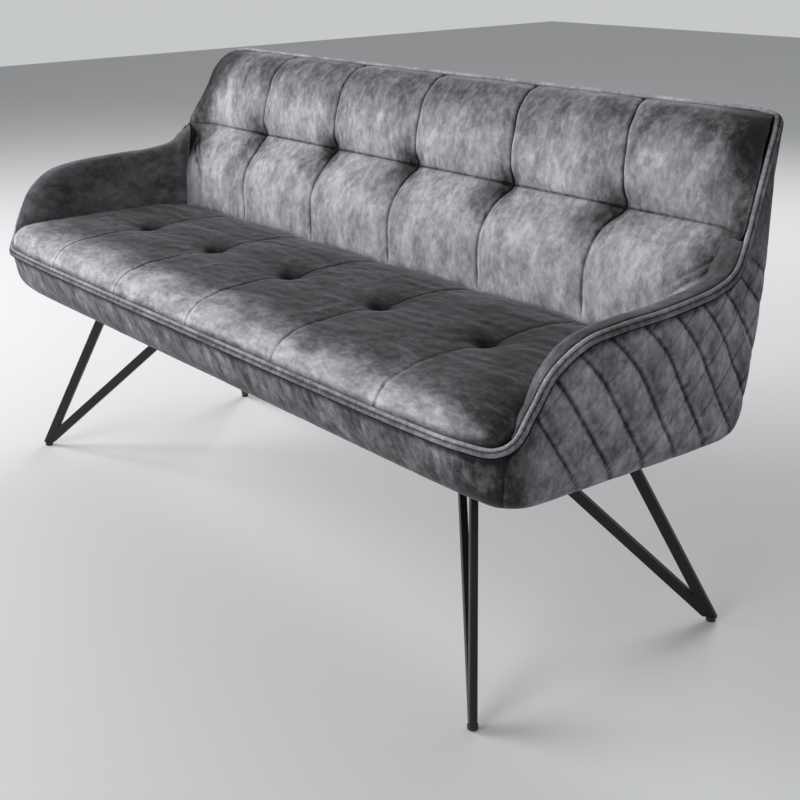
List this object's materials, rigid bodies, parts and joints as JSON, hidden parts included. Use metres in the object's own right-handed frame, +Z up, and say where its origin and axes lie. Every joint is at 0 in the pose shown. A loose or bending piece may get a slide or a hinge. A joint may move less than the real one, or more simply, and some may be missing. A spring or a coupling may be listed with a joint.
{
  "type": "upholstered bench",
  "caption": "Long upholstered bench with a tufted seat and back, low quilted arms with a double welt, and slender V-shaped metal legs.",
  "frame": {"origin": "on the floor under the centre of the bench's overall outline", "axes": "+X along the bench to its right arm as seen from the front, +Y towards the back, +Z up"},
  "size_m": [1.6946, 0.614, 0.8176],
  "materials": {
    "velvet": "dark grey crushed velvet, soft sheen",
    "welt": "dark grey velvet over cord, stitched double welt",
    "plywood": "raw birch plywood",
    "pine": "raw planed pine",
    "dust_cloth": "black non-woven cloth",
    "black_steel": "black powder coat, satin",
    "black_plastic": "black moulded plastic",
    "zinc_steel": "zinc-plated steel"
  },
  "bodies": {
    "root": {"front_apron": "velvet", "right_side_panel": "velvet", "left_side_panel": "velvet", "rear_panel": "velvet", "seat_cushion": "velvet", "back_cushion": "velvet", "right_arm_pad": "velvet", "left_arm_pad": "velvet", "front_welt": "welt", "right_arm_welt": "welt", "left_arm_welt": "welt", "top_welt": "welt", "right_arm_board": "plywood", "left_arm_board": "plywood", "right_mounting_board": "plywood", "left_mounting_board": "plywood", "seat_board": "plywood", "back_board": "plywood", "front_rail": "pine", "rear_rail": "pine", "right_end_rail": "pine", "left_end_rail": "pine", "middle_cross_rail": "pine", "right_end_post": "pine", "left_end_post": "pine", "right_inner_post": "pine", "left_inner_post": "pine", "back_top_rail": "pine", "dust_cover": "dust_cloth", "right_front_leg_plate": "black_steel", "right_centre_leg_plate": "black_steel", "right_rear_leg_plate": "black_steel", "left_front_leg_plate": "black_steel", "left_centre_leg_plate": "black_steel", "left_rear_leg_plate": "black_steel", "right_front_leg_steep_bar": "black_steel", "right_front_leg_flat_bar": "black_steel", "right_rear_leg_steep_bar": "black_steel", "right_rear_leg_flat_bar": "black_steel", "left_front_leg_steep_bar": "black_steel", "left_front_leg_flat_bar": "black_steel", "left_rear_leg_steep_bar": "black_steel", "left_rear_leg_flat_bar": "black_steel", "right_front_glide": "black_plastic", "right_rear_glide": "black_plastic", "left_front_glide": "black_plastic", "left_rear_glide": "black_plastic", "right_leg_bolt_1": "zinc_steel", "right_leg_bolt_2": "zinc_steel", "right_leg_bolt_3": "zinc_steel", "right_leg_bolt_4": "zinc_steel", "right_leg_bolt_5": "zinc_steel", "right_leg_bolt_6": "zinc_steel", "left_leg_bolt_1": "zinc_steel", "left_leg_bolt_2": "zinc_steel", "left_leg_bolt_3": "zinc_steel", "left_leg_bolt_4": "zinc_steel", "left_leg_bolt_5": "zinc_steel", "left_leg_bolt_6": "zinc_steel"}
  },
  "joints": []
}
